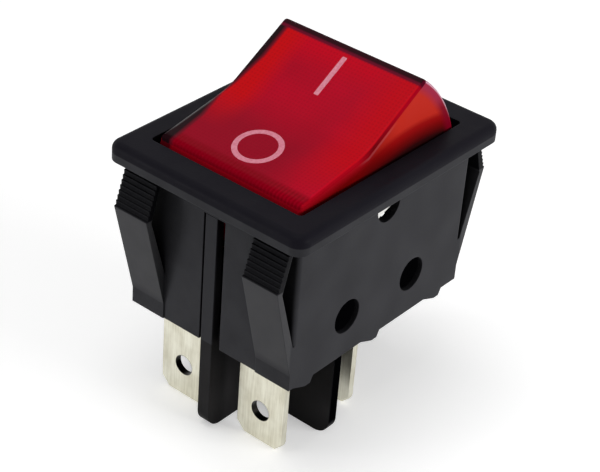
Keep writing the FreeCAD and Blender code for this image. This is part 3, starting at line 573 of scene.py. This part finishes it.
def rolled_metal(name, dark, light, roughness, grain_axis, stretch=14.0, holes=False):
    """Strip metal: fine rolling lines along one axis, handling marks, and cut edges painted brighter as a
    highlight.
    """
    made = Shader(name)
    scale = [stretch, stretch, stretch]
    scale[grain_axis] = 1.0
    lined = made.node("ShaderNodeMapping", {"Vector": made.coords, "Scale": scale}).outputs[0]
    lines = made.noise(3 * MM, 4, lined)
    stain = made.noise(2.2 * MM, 4)
    rounded, edge = made.soft_edges(0.07 * MM)
    tone = made.blend(made.span(made.maths("ADD", lines, stain), 0.75, 1.25), dark, light)
    # Painted highlight: the edges brighter
    tone = made.lay(tone, light, edge, 0.4)
    if holes:
        tone = punched_holes(made, tone)
    rough = made.span(lines, *FAINT_MOTTLE, roughness - 0.06, roughness + 0.08)
    made.set(Base_Color=tone, Metallic=1.0, Roughness=rough, Normal=made.bump(lines, 0.003 * MM, rounded))
    return made.material


def bulb_glass():
    """Clear glass, slightly wavy."""
    made = Shader("bulb_glass")
    tone = made.blend(made.span(made.noise(2 * MM), *FAINT_MOTTLE), (0.97, 0.95, 0.92, 1), (1, 1, 1, 1))
    made.set(Base_Color=tone, Roughness=0.04, Transmission_Weight=1.0, IOR=1.5)
    made.set(Normal=made.bump(made.noise(2.5 * MM, 2), 0.02 * MM))
    return made.material


def resistor_coat():
    """Beige lacquer, slightly lumpy."""
    made = Shader("resistor_coat")
    cloud = made.span(made.noise(0.9 * MM, 3), *FAINT_MOTTLE)
    tone = made.blend(cloud, rgb(196, 170, 124), rgb(216, 194, 150))
    made.set(Base_Color=tone, Roughness=0.35, Normal=made.bump(made.noise(0.7 * MM, 2), 0.03 * MM))
    return made.material


def dress(node, material):
    """A CAD node keeps its shape and takes a material."""
    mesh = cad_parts[node].data
    mesh.materials.clear()
    mesh.materials.append(material)


def both(stem):
    """A node's names on the two poles."""
    return (stem + "_a", stem + "_b")


def dress_nodes():
    """Materials for all CAD nodes but the springs, which coils replace."""
    dress("housing", housing_nylon())
    dress("base", base_nylon())
    dress("rocker_lens", lens_red())
    dress("rocker_carrier", white_moulding("white_carrier", rgb(226, 224, 218), rgb(238, 237, 233)))
    dress("lamp_bulb", bulb_glass())
    dress("lamp_resistor", resistor_coat())
    acetal = white_moulding("plunger_acetal", rgb(228, 226, 220), rgb(240, 239, 235))
    tin = rolled_metal("tab_tin", rgb(200, 196, 177), rgb(226, 224, 208), 0.34, 2, holes=True)
    copper = rolled_metal("lever_copper", rgb(170, 108, 72), rgb(206, 142, 102), 0.32, 0)
    silver = rolled_metal("contact_silver", rgb(206, 206, 204), rgb(236, 236, 234), 0.26, 0, 4)
    nickel = rolled_metal("electrode_nickel", rgb(160, 156, 148), rgb(196, 192, 184), 0.3, 0, 6)
    for stem, material in (("plunger", acetal), ("contact_lever", copper), ("moving_contact", silver),
                           ("fixed_contact", silver), ("end_terminal", tin), ("centre_terminal", tin),
                           ("lamp_electrode", nickel)):
        for node in both(stem):
            dress(node, material)


# Pieces

def add_piece(name, mesh, material, body):
    """A new piece that moves with a body."""
    piece = bpy.data.objects.new(name, mesh)
    bpy.context.scene.collection.objects.link(piece)
    mesh.materials.append(material)
    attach(piece, body)
    return piece


def slope_place(x, y=0.0):
    """Where a printed mark sits: on the dished top, with its own x down the slope's length."""
    slope = math.atan2(DISH, TOP_HALF)
    height = CROWN_Z - DISH + abs(x) * math.tan(slope)
    lean = Matrix.Rotation(-math.copysign(slope, x), 4, "Y")
    return LEVEL_TO_PLACE @ Matrix.Translation((x, y, height)) @ lean


def slab(name, outlines):
    """A thin slab between closed outlines: the first is its outside, a second one is a hole."""
    mesh = bpy.data.meshes.new(name)
    build = bmesh.new()
    edges = []
    for outline in outlines:
        ring = [build.verts.new((x, y, -MARK_SINK)) for x, y in outline]
        edges += [build.edges.new((a, b)) for a, b in zip(ring, ring[1:] + ring[:1])]
    filled = bmesh.ops.triangle_fill(build, edges=edges, use_beauty=True)["geom"]
    faces = [part for part in filled if isinstance(part, bmesh.types.BMFace)]
    raised = bmesh.ops.extrude_face_region(build, geom=faces)["geom"]
    top = [part for part in raised if isinstance(part, bmesh.types.BMVert)]
    bmesh.ops.translate(build, verts=top, vec=(0, 0, MARK_SINK + MARK_STAND))
    bmesh.ops.recalc_face_normals(build, faces=build.faces)
    build.to_mesh(mesh)
    build.free()
    return mesh


def circle(radius, steps=72):
    """Points around a circle."""
    angles = [2 * math.pi * step / steps for step in range(steps)]
    return [(radius * math.cos(a), radius * math.sin(a)) for a in angles]


def rounded_bar(length, width, radius, steps=6):
    """Points around a bar with rounded corners."""
    points = []
    for corner in range(4):
        sx = (1, -1, -1, 1)[corner]
        sy = (1, 1, -1, -1)[corner]
        for step in range(steps + 1):
            angle = math.pi / 2 * (corner + step / steps)
            points.append((sx * (length / 2 - radius) + radius * math.cos(angle),
                           sy * (width / 2 - radius) + radius * math.sin(angle)))
    return points


def marks():
    """The bar on the raised half and the ring on the pressed half."""
    ink = mark_ink()
    slope = math.atan2(DISH, TOP_HALF)
    length = (BAR_END - BAR_START) / math.cos(slope)
    bar = slab("mark_bar", [rounded_bar(length, BAR_WIDTH, BAR_ROUND)])
    bar.transform(slope_place((BAR_START + BAR_END) / 2))
    add_piece("mark_bar", bar, ink, "rocker")
    ring = slab("mark_ring", [circle(RING_RADIUS), circle(RING_RADIUS - RING_STROKE)])
    ring.transform(slope_place(RING_MIDDLE, RING_ASIDE))
    add_piece("mark_ring", ring, ink, "rocker")


def coil_mesh(name, centre, length, radius):
    """A round wire coil about the rocker's own upright axis, with closed end turns."""
    curve = bpy.data.curves.new(name, "CURVE")
    curve.dimensions = "3D"
    curve.bevel_depth = SPRING_WIRE / 2
    curve.bevel_resolution = SPRING_ROUNDNESS
    curve.use_fill_caps = True
    total = int(SPRING_TURNS * SPRING_STEPS)
    line = curve.splines.new("POLY")
    line.points.add(total)
    rise = length - SPRING_WIRE
    for step in range(total + 1):
        turn = step / SPRING_STEPS
        share = min(max((turn - SPRING_END_TURNS) / (SPRING_TURNS - 2 * SPRING_END_TURNS), 0), 1)
        angle = 2 * math.pi * turn
        height = SPRING_WIRE / 2 + share * rise
        line.points[step].co = (centre.x + radius * math.cos(angle), centre.y + radius * math.sin(angle),
                                centre.z + height, 1)
    holder = bpy.data.objects.new(name, curve)
    mesh = bpy.data.meshes.new_from_object(holder)
    bpy.data.objects.remove(holder)
    mesh.name = name
    for face in mesh.polygons:
        face.use_smooth = True
    return mesh


def springs():
    """Round wire springs in place of the flat-sided ones, each in the level box of its node."""
    wire = rolled_metal("spring_steel", rgb(150, 150, 154), rgb(196, 196, 200), 0.25, 0, 3)
    for pole in "ab":
        node = "plunger_spring_" + pole
        corners = [PLACE_TO_LEVEL @ v.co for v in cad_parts[node].data.vertices]
        low = Vector([min(c[i] for c in corners) for i in range(3)])
        high = Vector([max(c[i] for c in corners) for i in range(3)])
        radius = (high.x - low.x - SPRING_WIRE) / 2
        centre = Vector(((low.x + high.x) / 2, (low.y + high.y) / 2, low.z))
        length = high.z - low.z
        mesh = coil_mesh("coil_" + pole, centre, length, radius)
        mesh.transform(LEVEL_TO_PLACE)
        coil = add_piece("coil_" + pole, mesh, wire, "rocker")
        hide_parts(node)
        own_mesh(coil)


# Stage and light

def make_floor():
    """A white floor under the part, whose glow only the camera and shiny faces see."""
    low = cad_box[0].z
    half = FLOOR_HALF
    mesh = bpy.data.meshes.new("floor")
    corners = [(-half, -half, low), (half, -half, low), (half, half, low), (-half, half, low)]
    mesh.from_pydata(corners, [], [(0, 1, 2, 3)])
    floor = bpy.data.objects.new("floor", mesh)
    bpy.context.scene.collection.objects.link(floor)
    made = Shader("floor_white")
    cloud = made.span(made.noise(60 * MM), *FAINT_MOTTLE)
    tone = made.blend(cloud, (0.9, 0.9, 0.9, 1), (0.93, 0.93, 0.93, 1))
    made.set(Base_Color=tone, Roughness=0.8)
    path = made.node("ShaderNodeLightPath")
    seen = made.maths("MAXIMUM", path.outputs["Is Camera Ray"], path.outputs["Is Glossy Ray"])
    away = made.node("ShaderNodeVectorMath", {0: made.coords}, operation="LENGTH").outputs["Value"]
    glow = made.span(away, FLOOR_NEAR, FLOOR_FAR, FLOOR_GLOW, 1.0)
    made.set(Emission_Color=(1, 1, 1, 1), Emission_Strength=made.maths("MULTIPLY", seen, glow))
    mesh.materials.append(made.material)


def make_world():
    """A backdrop that looks white and lights dull faces less."""
    world = bpy.data.worlds.new("studio")
    world.use_nodes = True
    bpy.context.scene.world = world
    tree = world.node_tree
    background = tree.nodes["Background"]
    path = tree.nodes.new("ShaderNodeLightPath").outputs
    seen = path["Is Camera Ray"]
    for kind in ("Is Glossy Ray", "Is Transmission Ray"):
        either = tree.nodes.new("ShaderNodeMath")
        either.operation = "MAXIMUM"
        tree.links.new(seen, either.inputs[0])
        tree.links.new(path[kind], either.inputs[1])
        seen = either.outputs[0]
    strength = tree.nodes.new("ShaderNodeMapRange")
    strength.inputs[3].default_value = WORLD_DIFFUSE
    strength.inputs[4].default_value = 1.0
    tree.links.new(seen, strength.inputs[0])
    tree.links.new(strength.outputs[0], background.inputs["Strength"])
    background.inputs["Color"].default_value = (1, 1, 1, 1)


def area_lamp(name, place, size, watts):
    """A soft box that faces the target."""
    data = bpy.data.lights.new(name, "AREA")
    data.shape = "RECTANGLE"
    data.size = size[0]
    data.size_y = size[1]
    data.energy = watts
    lamp = bpy.data.objects.new(name, data)
    lamp.location = place
    lamp.rotation_mode = "QUATERNION"
    lamp.rotation_quaternion = (LAMP_TARGET - Vector(place)).to_track_quat("-Z", "Y")
    bpy.context.scene.collection.objects.link(lamp)


make_camera()
make_world()
make_floor()
for lamp in LAMPS:
    area_lamp(*lamp)
dress_nodes()
marks()
springs()
bpy.context.scene.view_settings.view_transform = "Standard"
